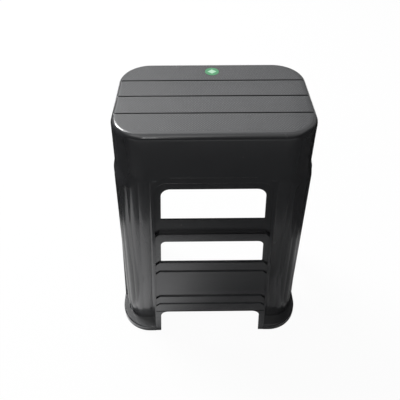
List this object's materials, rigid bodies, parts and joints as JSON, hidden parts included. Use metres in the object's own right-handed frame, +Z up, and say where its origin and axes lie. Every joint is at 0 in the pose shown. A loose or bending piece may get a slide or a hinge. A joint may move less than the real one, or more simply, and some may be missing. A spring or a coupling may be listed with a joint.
{
  "type": "moulded step stool",
  "caption": "One-piece moulded plastic step stool with a planked tread, reeded corner columns, stepped and windowed panels, a foot flange and an open back, used as an entry step.",
  "frame": {"origin": "on the floor in the middle of the base", "axes": "+X across the width to the right seen from the front, +Y from the front to the open back, +Z up"},
  "size_m": [0.354, 0.2548, 0.4602],
  "materials": {
    "charcoal_plastic": "semi-gloss moulded plastic, fine stipple on the tread planks",
    "green_film": "satin printed film"
  },
  "bodies": {
    "root": {"stool_body": "charcoal_plastic", "round_sticker": "green_film"}
  },
  "joints": []
}
